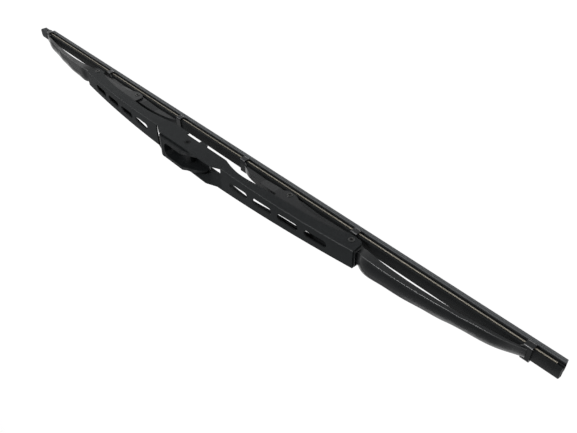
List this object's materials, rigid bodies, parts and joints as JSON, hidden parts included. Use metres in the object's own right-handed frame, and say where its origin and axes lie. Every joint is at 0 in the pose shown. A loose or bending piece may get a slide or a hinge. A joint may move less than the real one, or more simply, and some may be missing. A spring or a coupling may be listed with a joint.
{
  "type": "wiper blade",
  "caption": "Bracket wiper blade: an arched bridge carries rocking yokes whose claws hold a rubber refill with steel rails, and an adapter takes a hooked arm.",
  "frame": {"origin": "middle of the arm pin's axis, inside the adapter's barrel", "axes": "+X along the blade towards the end with the rubber stop, +Y across the blade, +Z away from the glass"},
  "size_m": [0.5, 0.0172, 0.0353],
  "materials": {
    "bridge_paint": "black satin paint over pressed steel",
    "yoke_paint": "black satin paint over pressed steel",
    "pin_paint": "black paint over a steel pin",
    "rivet_steel": "black paint worn to dull steel on the rolled rim",
    "adapter_plastic": "moulded black plastic, matt",
    "liner_plastic": "moulded black plastic, matt",
    "rubber": "black wiping rubber with a greyer, cut lip",
    "rail_steel": "bright spring steel strip with a cut edge"
  },
  "bodies": {
    "bridge": {"main_bridge": "bridge_paint", "arm_pivot_pin": "pin_paint", "pivot_liner_right": "liner_plastic", "pivot_liner_left": "liner_plastic", "bridge_rivet_right": "rivet_steel", "bridge_rivet_left": "rivet_steel", "rubber_blade": "rubber", "rail_front": "rail_steel", "rail_back": "rail_steel"},
    "adapter": {"arm_adapter": "adapter_plastic"},
    "yoke_right": {"outer_yoke_right": "yoke_paint", "yoke_rivet_right": "rivet_steel"},
    "yoke_left": {"outer_yoke_left": "yoke_paint", "yoke_rivet_left": "rivet_steel"},
    "claws_right": {"claw_yoke_right": "yoke_paint"},
    "claws_left": {"claw_yoke_left": "yoke_paint"}
  },
  "joints": [
    {"name": "adapter_tilt", "type": "hinge", "parent": "bridge", "child": "adapter", "pos_m": [0, 0, 0], "axis": [0, 1, 0], "range_deg": [-15, 20]},
    {"name": "yoke_rock_right", "type": "hinge", "parent": "bridge", "child": "yoke_right", "pos_m": [0.1339, 0, -0.00975], "axis": [0, 1, 0], "range_deg": [-3, 3], "stiffness_Nm_per_rad": 0.5, "deforming": ["rubber_blade", "rail_front", "rail_back"]},
    {"name": "yoke_rock_left", "type": "hinge", "parent": "bridge", "child": "yoke_left", "pos_m": [-0.1339, 0, -0.00975], "axis": [0, 1, 0], "range_deg": [-3, 3], "stiffness_Nm_per_rad": 0.5, "deforming": ["rubber_blade", "rail_front", "rail_back"]},
    {"name": "claws_rock_right", "type": "hinge", "parent": "yoke_right", "child": "claws_right", "pos_m": [0.0822, 0, -0.01325], "axis": [0, 1, 0], "range_deg": [-2, 2], "stiffness_Nm_per_rad": 0.3, "deforming": ["rubber_blade", "rail_front", "rail_back"]},
    {"name": "claws_rock_left", "type": "hinge", "parent": "yoke_left", "child": "claws_left", "pos_m": [-0.0822, 0, -0.01325], "axis": [0, 1, 0], "range_deg": [-2, 2], "stiffness_Nm_per_rad": 0.3, "deforming": ["rubber_blade", "rail_front", "rail_back"]}
  ]
}
